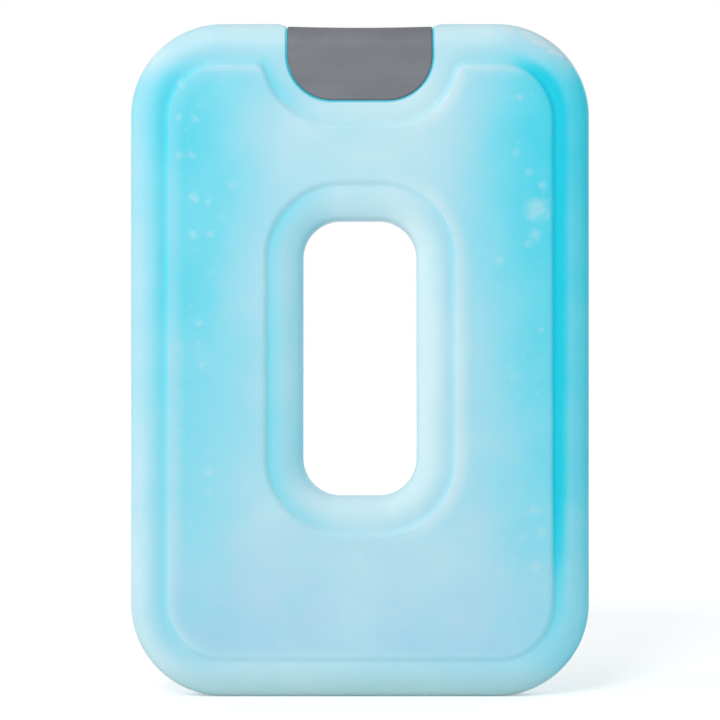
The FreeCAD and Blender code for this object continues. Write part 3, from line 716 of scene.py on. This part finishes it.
# Painted shade and light across the collar land
painted_collar_shading = multiplied(
    skin,
    ease(skin, out_wide, 0.036, 0.042, 1.0, 0.0),
    ease(skin, tone["step"], -0.001, 0.001, 1.0, 0.0),
    ease(skin, x_place, -0.028, -0.004, 0.06, -0.06),
    ease(skin, z_place, 0.048, 0.064),
    ease(skin, z_place, 0.242, 0.258, 1.0, 0.0),
)

# Painted shade: it is painted deepest in the groove along the foot of a step that faces right, away
# from the key light, and in the gap round the cap
falls_right = added(
    skin,
    multiplied(
        skin,
        ease(skin, tone["climb"], -1.0, 0.0, 1.0, 0.0),
        ease(skin, x_place, 0.0, 0.070, 0.13, 0.58),
    ),
    ease(skin, tone["climb"], 0.0, 1.0, 0.03, 0.04),
)
painted_groove_shade = multiplied(
    skin,
    ease(skin, tone["step"], -0.0065, -0.0002),
    ease(skin, tone["step"], 0.0002, 0.0019, 1.0, 0.0),
    falls_right,
    ease(skin, z_place, 0.015, 0.085, 0.10, 1.0),
)
# Painted shade: deep saturated cyan in the narrow gap round the cap
painted_gap_shade = multiplied(
    skin,
    ease(skin, tone["seat"], 0.0, 0.0008, 0.52, 0.0),
    ease(skin, z_place, 0.2700, 0.2722, 1.0, 0.0),
)
cloudy = mottle(skin, on_shell, 30.0, 3.0, -0.05, 0.05)
# The coolant's own tone, with the painted light and shade above added in
depth = added(
    skin, PLAIN_DEPTH, side_depth, right_painted_shade, pale_border, low_painted_shade, painted_roll_light, right_edge_painted_shade,
    painted_step_highlight, painted_collar_shading, painted_groove_shade, painted_gap_shade, cloudy,
)
ramp = skin.nodes.new("ShaderNodeValToRGB")
skin.links.new(depth, ramp.inputs["Fac"])
COOLANT_TONES = (
    (0.00, (0.640, 0.850, 0.910)),
    (0.25, (0.400, 0.754, 0.876)),
    (0.50, (0.190, 0.725, 0.870)),
    (0.75, (0.045, 0.668, 0.840)),
    (1.00, (0.002, 0.630, 0.815)),
)
while len(ramp.color_ramp.elements) < len(COOLANT_TONES):
    ramp.color_ramp.elements.new(0.5)
for element, (tone_depth, colour) in zip(ramp.color_ramp.elements, COOLANT_TONES):
    element.position = tone_depth
    element.color = (*colour, 1.0)

# Low on the panel the coolant is milky, with paler wisps in it, and the foot is in its own shade
MILK = (0.370, 0.665, 0.850)
WISP = (0.480, 0.735, 0.870)
FOOT_SHADE = (0.460, 0.680, 0.660)
milk = multiplied(
    skin,
    ease(skin, z_place, 0.020, 0.075, 0.75, 0.0),
    mottle(skin, on_shell, 42.0, 3.0, 0.35, 1.0),
    ease(skin, tone["step"], 0.001, 0.006),
)
wisp_place = skin.nodes.new("ShaderNodeMapping")
wisp_place.inputs["Scale"].default_value = (0.7, 1.0, 1.0)
skin.links.new(on_shell, wisp_place.inputs["Vector"])
wisps = multiplied(
    skin,
    reckon(skin, "MAXIMUM", mottle(skin, wisp_place.outputs["Vector"], 60.0, 4.0, -0.50, 0.70), 0.0),
    ease(skin, z_place, 0.016, 0.030),
    ease(skin, z_place, 0.062, 0.084, 1.0, 0.0),
    ease(skin, out_wide, 0.034, 0.062, 1.0, 0.0),
)
coolant = laid_over(skin, milk, ramp.outputs["Color"], MILK)
coolant = laid_over(skin, wisps, coolant, WISP)
coolant = laid_over(skin, ease(skin, z_place, 0.0, 0.016, 0.60, 0.0), coolant, FOOT_SHADE)

# Frost: small white spots down both sides of the panels, a few larger blots, and a rimed patch
# on the upper right of the rim. Its outlines are torn by a fine noise.
FROST = (0.62, 0.79, 0.84)
FROST_JOLT = 0.004
ragged = noise_on(skin, on_shell, 260.0, 4.0)
frayed = less(skin, ragged["Fac"], 0.5)
jolt = skin.nodes.new("ShaderNodeVectorMath")
jolt.operation = "MULTIPLY_ADD"
skin.links.new(ragged["Color"], jolt.inputs[0])
jolt.inputs[1].default_value = (FROST_JOLT, FROST_JOLT, FROST_JOLT)
skin.links.new(on_shell, jolt.inputs[2])
torn_place = jolt.outputs["Vector"]

# Each kind of spot: how many to the metre, how many of them don't show, the largest, the strength
SPOT_KINDS = (
    (170.0, 0.45, 0.50, 0.42),
    (380.0, 0.40, 0.46, 0.30),
)
frost = 0.0
for crowding, left_out, largest, strength in SPOT_KINDS:
    spots = skin.nodes.new("ShaderNodeTexVoronoi")
    spots.inputs["Scale"].default_value = crowding
    skin.links.new(torn_place, spots.inputs["Vector"])
    picked = skin.nodes.new("ShaderNodeSeparateColor")
    skin.links.new(spots.outputs["Color"], picked.inputs["Color"])
    spot_size = ease(skin, picked.outputs["Red"], left_out, 1.0, 0.001, largest)
    far_out = reckon(skin, "DIVIDE", spots.outputs["Distance"], spot_size)
    frost = reckon(skin, "MAXIMUM", frost, ease(skin, far_out, 0.0, 1.0, strength, 0.0))
frost = multiplied(
    skin,
    frost,
    ease(skin, out_wide, 0.046, 0.062),
    ease(skin, tone["step"], 0.002, 0.005),
    mottle(skin, on_shell, 34.0, 2.0, 0.2, 1.0),
)

# Each blot on the front: its place across and up, how far it reaches and its strength
BLOT_FACE = -0.011
BLOT_FRAY = 1.1
BLOT_CORE = 0.20
BLOTS = (
    (0.0717, 0.1975, 0.0070, 0.40),
    (0.0704, 0.1875, 0.0030, 0.24),
    (-0.0680, 0.2198, 0.0028, 0.26),
    (-0.0672, 0.2024, 0.0032, 0.32),
    (-0.0603, 0.1868, 0.0026, 0.28),
    (-0.0677, 0.1876, 0.0026, 0.28),
    (-0.0650, 0.1515, 0.0026, 0.26),
    (-0.0642, 0.1345, 0.0024, 0.24),
    (-0.0727, 0.2480, 0.0022, 0.26),
    (-0.0518, 0.2072, 0.0024, 0.20),
    (0.0646, 0.2428, 0.0026, 0.24),
    (0.0633, 0.2201, 0.0022, 0.18),
    (0.0707, 0.0759, 0.0030, 0.30),
    (0.0735, 0.0666, 0.0032, 0.30),
    (0.0659, 0.0646, 0.0024, 0.22),
    (0.0707, 0.0525, 0.0032, 0.32),
    (0.0614, 0.0504, 0.0026, 0.22),
)
for blot_x, blot_z, blot_reach, strength in BLOTS:
    away = skin.nodes.new("ShaderNodeVectorMath")
    away.operation = "DISTANCE"
    skin.links.new(torn_place, away.inputs[0])
    centre = (blot_x, BLOT_FACE, blot_z)
    away.inputs[1].default_value = tuple(value + FROST_JOLT / 2 for value in centre)
    far_out = added(
        skin, away.outputs["Value"], multiplied(skin, frayed, BLOT_FRAY * blot_reach)
    )
    blot = ease(skin, far_out, BLOT_CORE * blot_reach, blot_reach, strength, 0.0)
    frost = reckon(skin, "MAXIMUM", frost, blot)

RIME_SLOPE = 0.57
RIME_FRAY = 0.012
rime_line = added(
    skin, z_place, multiplied(skin, x_place, RIME_SLOPE), multiplied(skin, frayed, RIME_FRAY)
)
rime = multiplied(
    skin,
    ease(skin, rime_line, 0.3040, 0.3070),
    ease(skin, tone["step"], -0.0045, -0.0020, 0.72, 0.0),
)
frost = reckon(skin, "MAXIMUM", frost, rime)
skin.links.new(laid_over(skin, frost, coolant, FROST), plastic.inputs["Base Color"])

# The skin is satin, a little uneven from the mould, and rougher where it is frosted
satin = mottle(skin, on_shell, 70.0, 2.0, 0.40, 0.50)
skin.links.new(added(skin, satin, multiplied(skin, frost, 0.25)), plastic.inputs["Roughness"])
plastic.inputs["IOR"].default_value = 1.50
plastic.inputs["Specular IOR Level"].default_value = 0.28
grain = noise_on(skin, on_shell, 1400.0, 3.0)["Fac"]
uneven = skin.nodes.new("ShaderNodeBump")
uneven.inputs["Strength"].default_value = 0.25
uneven.inputs["Distance"].default_value = 0.0001
skin.links.new(added(skin, grain, multiplied(skin, frost, 1.5)), uneven.inputs["Height"])
skin.links.new(uneven.outputs["Normal"], plastic.inputs["Normal"])

shaper = pack_shell.modifiers.new("slab_form", "NODES")
shaper.node_group = form
sockets = {item.name: item.identifier for item in form.interface.items_tree if item.in_out == "INPUT"}
for name, value in SLAB_INPUTS:
    shaper[sockets[name]] = value
shaper[sockets["Finish"]] = milky
graph = bpy.context.evaluated_depsgraph_get()
pack_shell.data = bpy.data.meshes.new_from_object(
    pack_shell.evaluated_get(graph), preserve_all_data_layers=True, depsgraph=graph
)
pack_shell.data.name = "pack_shell"
pack_shell.modifiers.remove(pack_shell.modifiers["slab_form"])
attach(pack_shell, "root")
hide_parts("pack_body")

# The cap: one grey moulding bent over the top edge like a saddle, with a round-ended tongue down
# each face, a small radius all round its rim and a top that dips a little along its width.
# Its plate is drawn flat, as width and length over the arch, and is then bent to the arch.
CAP_TOP = 0.2715
CAP_FACE = 0.0100
CAP_WALL = 0.0022
CAP_RIM = 0.0006
DIP_RADIUS = 0.8617
INNER_ROUND = 0.6
PLATE_PITCH = 0.0011
PLATE_REACH = 0.0285
ARCH_TIGHT = EDGE_RADIUS
ARCH_WIDE = CROWN_RADIUS
FLAT_HALF = EDGE_FLAT / 2

arch_rise = math.sqrt((ARCH_WIDE - ARCH_TIGHT) ** 2 - (ARCH_WIDE + FLAT_HALF - CAP_FACE) ** 2)
ARCH_LEAN = math.asin(arch_rise / (ARCH_WIDE - ARCH_TIGHT))
SHOULDER = CAP_TOP - ARCH_TIGHT - arch_rise
TIGHT_RUN = ARCH_TIGHT * (math.pi / 2 - ARCH_LEAN)
WIDE_RUN = ARCH_WIDE * ARCH_LEAN
TONGUE_RUN = SHOULDER - CAP_FOOT
HALF_RUN = FLAT_HALF + TIGHT_RUN + WIDE_RUN + TONGUE_RUN


def over_arch(points, sink):
    """Points of the flat plate bent over the arch, each sunk below the outer skin."""
    x = points[:, 0]
    run = np.abs(points[:, 1])
    side = np.where(points[:, 1] < 0, -1.0, 1.0)
    tight = np.clip((run - FLAT_HALF) / ARCH_TIGHT, 0, math.pi / 2 - ARCH_LEAN)
    wide = np.clip((run - FLAT_HALF - TIGHT_RUN) / ARCH_WIDE, 0, ARCH_LEAN)
    down = np.maximum(run - FLAT_HALF - TIGHT_RUN - WIDE_RUN, 0)
    lean = math.pi / 2 - tight - wide
    y = np.minimum(run, FLAT_HALF)
    y += (ARCH_TIGHT - sink) * np.sin(tight)
    z = CAP_TOP - ARCH_TIGHT + (ARCH_TIGHT - sink) * np.cos(tight)
    y += (ARCH_WIDE - sink) * (np.cos(lean) - np.cos(lean + wide))
    z += (ARCH_WIDE - sink) * (np.sin(lean) - np.sin(lean + wide))
    z -= down
    dip = x**2 / (2 * DIP_RADIUS) * np.clip((z - SHOULDER) / (CAP_TOP - SHOULDER), 0, 1)
    return np.column_stack([x, side * y, z + dip])


def inside_plate(points):
    """How far points lie in from the edge of the flat plate."""
    return inside_rounded(points, CAP_WIDTH / 2, -HALF_RUN, HALF_RUN, CAP_CORNER)


def plate_loop(inset):
    """A closed loop round the flat plate, this far in from its edge."""
    half = CAP_WIDTH / 2 - inset
    end = HALF_RUN - inset
    return rounded_loop(half, -end, end, CAP_CORNER - inset, PLATE_PITCH)


def on_plate(points):
    """Whether points lie on the flat plate, inside its rounded rim."""
    return inside_plate(points) > CAP_RIM


# Round its rim the outer skin turns in by a quarter round, and the inner one by a flatter one
rim_turn = np.radians([20, 42, 64, 90])
rim_share = 2 * CAP_RIM * (1 - np.cos(rim_turn)) / CAP_WALL - 1
outer_rim = list(zip(rim_share, -CAP_RIM * np.sin(rim_turn)))
inner_rim = [(1 - (row + 1) * INNER_ROUND, inset) for row, inset in outer_rim[::-1]]

# Rows of points cross the plate, closest together over the tight bends at its top
bends = [FLAT_HALF, FLAT_HALF + TIGHT_RUN, FLAT_HALF + TIGHT_RUN + WIDE_RUN, HALF_RUN]
bends = [-bend for bend in bends[::-1]] + bends
plate_rows = np.concatenate([
    np.linspace(start, end, count)[1:]
    for start, end, count in zip(bends, bends[1:], (16, 10, 12, 6, 12, 10, 16))
])
plate_columns = np.linspace(-PLATE_REACH, PLATE_REACH, 31)
plate_fill = np.array([(across, along) for along in plate_rows for across in plate_columns])
plate_fill = plate_fill[inside_plate(plate_fill) > 3 * CAP_RIM]
plate, plate_plan, plate_share = two_skins(
    "saddle_cap", plate_loop(CAP_RIM), [], np.concatenate([plate_loop(2 * CAP_RIM), plate_fill]),
    on_plate, outer_rim + inner_rim,
)
bent = over_arch(plate_plan, (plate_share + 1) / 2 * CAP_WALL)
plate.vertices.foreach_set("co", bent.astype(np.float32).ravel())
for facet in plate.polygons:
    facet.use_smooth = True
saddle_cap = bpy.data.objects.new("saddle_cap", plate)
bpy.context.scene.collection.objects.link(saddle_cap)

# The grey is streaked along the width, as the plastic flowed in the mould, painted darker where the
# cap bends over the top as painted shade, and textured with a fine pebble
CAP_DARK = (0.146, 0.153, 0.176)
CAP_PALE = (0.182, 0.190, 0.216)
grey = bpy.data.materials.new("satin_grey")
grey.use_nodes = True
cap_skin = grey.node_tree
moulded = cap_skin.nodes["Principled BSDF"]
on_cap = cap_skin.nodes.new("ShaderNodeTexCoord").outputs["Object"]
streaks = cap_skin.nodes.new("ShaderNodeMapping")
streaks.inputs["Scale"].default_value = (0.28, 1.0, 1.0)
cap_skin.links.new(on_cap, streaks.inputs["Vector"])
cap_axes = cap_skin.nodes.new("ShaderNodeSeparateXYZ")
cap_skin.links.new(on_cap, cap_axes.inputs["Vector"])
# The streaks, less a painted shade over the top bend
flow_and_shade = less(
    cap_skin,
    mottle(cap_skin, streaks.outputs["Vector"], 90.0, 4.0, 0.15, 1.0),
    ease(cap_skin, cap_axes.outputs["Z"], 0.2650, 0.2685, 0.0, 0.45),
)
cap_shade = cap_skin.nodes.new("ShaderNodeValToRGB")
cap_skin.links.new(flow_and_shade, cap_shade.inputs["Fac"])
for element, colour in zip(cap_shade.color_ramp.elements, (CAP_DARK, CAP_PALE)):
    element.color = (*colour, 1.0)
cap_skin.links.new(cap_shade.outputs["Color"], moulded.inputs["Base Color"])
cap_skin.links.new(mottle(cap_skin, on_cap, 180.0, 2.0, 0.48, 0.58), moulded.inputs["Roughness"])
pebble = cap_skin.nodes.new("ShaderNodeBump")
pebble.inputs["Strength"].default_value = 0.30
pebble.inputs["Distance"].default_value = 0.00006
cap_skin.links.new(noise_on(cap_skin, on_cap, 2200.0, 2.0)["Fac"], pebble.inputs["Height"])
cap_skin.links.new(pebble.outputs["Normal"], moulded.inputs["Normal"])
plate.materials.append(grey)
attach(saddle_cap, "root")
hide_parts("port_cap")

# The filling plug: a small stopper of natural, uncoloured plastic pressed into the neck, which the
# cap hides. Its shape comes from the frame, and only its finish is made here.
PLUG_DARK = (0.62, 0.62, 0.58)
PLUG_PALE = (0.72, 0.72, 0.68)
natural = bpy.data.materials.new("natural_plastic")
natural.use_nodes = True
plug_skin = natural.node_tree
stopper = plug_skin.nodes["Principled BSDF"]
on_plug = plug_skin.nodes.new("ShaderNodeTexCoord").outputs["Object"]
cream = plug_skin.nodes.new("ShaderNodeValToRGB")
plug_skin.links.new(mottle(plug_skin, on_plug, 240.0, 3.0, 0.0, 1.0), cream.inputs["Fac"])
for element, colour in zip(cream.color_ramp.elements, (PLUG_DARK, PLUG_PALE)):
    element.color = (*colour, 1.0)
plug_skin.links.new(cream.outputs["Color"], stopper.inputs["Base Color"])
plug_skin.links.new(mottle(plug_skin, on_plug, 500.0, 2.0, 0.40, 0.52), stopper.inputs["Roughness"])
fill_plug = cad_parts["fill_plug"]
for plug_slot in fill_plug.material_slots:
    plug_slot.material = natural

# The stage: a plain white floor that runs off into a white studio, a soft key from the upper left
# in front, and a level fill from the room itself.
ROOM_FILL = 0.45
room = bpy.data.worlds.new("studio")
bpy.context.scene.world = room
room.use_nodes = True
air = room.node_tree


def seen_by_eye(tree):
    """1 where a ray comes from the camera or from a reflection of it, and 0 for the rest."""
    ray = tree.nodes.new("ShaderNodeLightPath").outputs
    mirrored = reckon(tree, "MAXIMUM", ray["Is Glossy Ray"], ray["Is Transmission Ray"])
    return reckon(tree, "MAXIMUM", ray["Is Camera Ray"], mirrored)


sky = air.nodes["Background"]
sky.inputs["Color"].default_value = (1.0, 1.0, 1.0, 1.0)
room_level = added(air, ROOM_FILL, multiplied(air, seen_by_eye(air), 1.0 - ROOM_FILL))
air.links.new(room_level, sky.inputs["Strength"])

# The floor glows for the eye alone, more so further off, where it has to meet the white room
FLOOR_REACH = 30.0
floor_corners = [(-1, -1), (1, -1), (1, 1), (-1, 1)]
floor_mesh = bpy.data.meshes.new("floor")
floor_mesh.from_pydata(
    [(x * FLOOR_REACH, y * FLOOR_REACH, 0) for x, y in floor_corners], [], [(0, 1, 2, 3)]
)
floor = bpy.data.objects.new("floor", floor_mesh)
bpy.context.scene.collection.objects.link(floor)
paper = bpy.data.materials.new("white_floor")
paper.use_nodes = True
floor_skin = paper.node_tree
base = floor_skin.nodes["Principled BSDF"]
base.inputs["Base Color"].default_value = (0.89, 0.88, 0.88, 1.0)
base.inputs["Roughness"].default_value = 0.9
# The glow is a little cool, so that where the key's shadow falls the floor is painted bluish,
# standing in for light through the cyan pack
base.inputs["Emission Color"].default_value = (0.91, 0.98, 1.0, 1.0)
far_off = floor_skin.nodes.new("ShaderNodeVectorMath")
far_off.operation = "LENGTH"
on_floor = floor_skin.nodes.new("ShaderNodeTexCoord").outputs["Object"]
floor_skin.links.new(on_floor, far_off.inputs[0])
brighter = ease(floor_skin, far_off.outputs["Value"], 0.3, 2.5, 0.375, 0.66)
floor_glow = multiplied(floor_skin, seen_by_eye(floor_skin), brighter)
floor_skin.links.new(floor_glow, base.inputs["Emission Strength"])
floor_mesh.materials.append(paper)


def soft_lamp(name, place, size, power):
    """A square soft light that looks at the middle of the slab."""
    lamp = bpy.data.lights.new(name, "AREA")
    lamp.shape = "SQUARE"
    lamp.size = size
    lamp.energy = power
    holder = bpy.data.objects.new(name, lamp)
    holder.location = place
    aim = Vector((0.0, 0.0, SLAB_HEIGHT / 2)) - Vector(place)
    holder.rotation_euler = aim.to_track_quat("-Z", "Y").to_euler()
    bpy.context.scene.collection.objects.link(holder)


soft_lamp("key", (-0.42, -1.55, 1.18), 0.45, 12.5)
soft_lamp("side", (-1.6, -0.75, 0.75), 0.9, 7.6)
soft_lamp("back", (1.35, 1.25, 0.9), 0.9, 7.0)

# The camera stands square in front of the slab at half its height, with a long lens. Its view is
# this wide in the plane of the slab's middle.
CAMERA_GAP = 1.2
VIEW_WIDE = 0.29366
SENSOR_WIDE = 36.0
camera = bpy.data.objects.new("camera", bpy.data.cameras.new("camera"))
camera.data.sensor_width = SENSOR_WIDE
camera.data.lens = SENSOR_WIDE * CAMERA_GAP / VIEW_WIDE
camera.data.clip_end = 100.0
camera.location = (0.0, -CAMERA_GAP, SLAB_HEIGHT / 2)
camera.rotation_euler = (math.radians(90), 0.0, 0.0)
bpy.context.scene.collection.objects.link(camera)
bpy.context.scene.camera = camera
bpy.context.scene.view_settings.view_transform = "Standard"
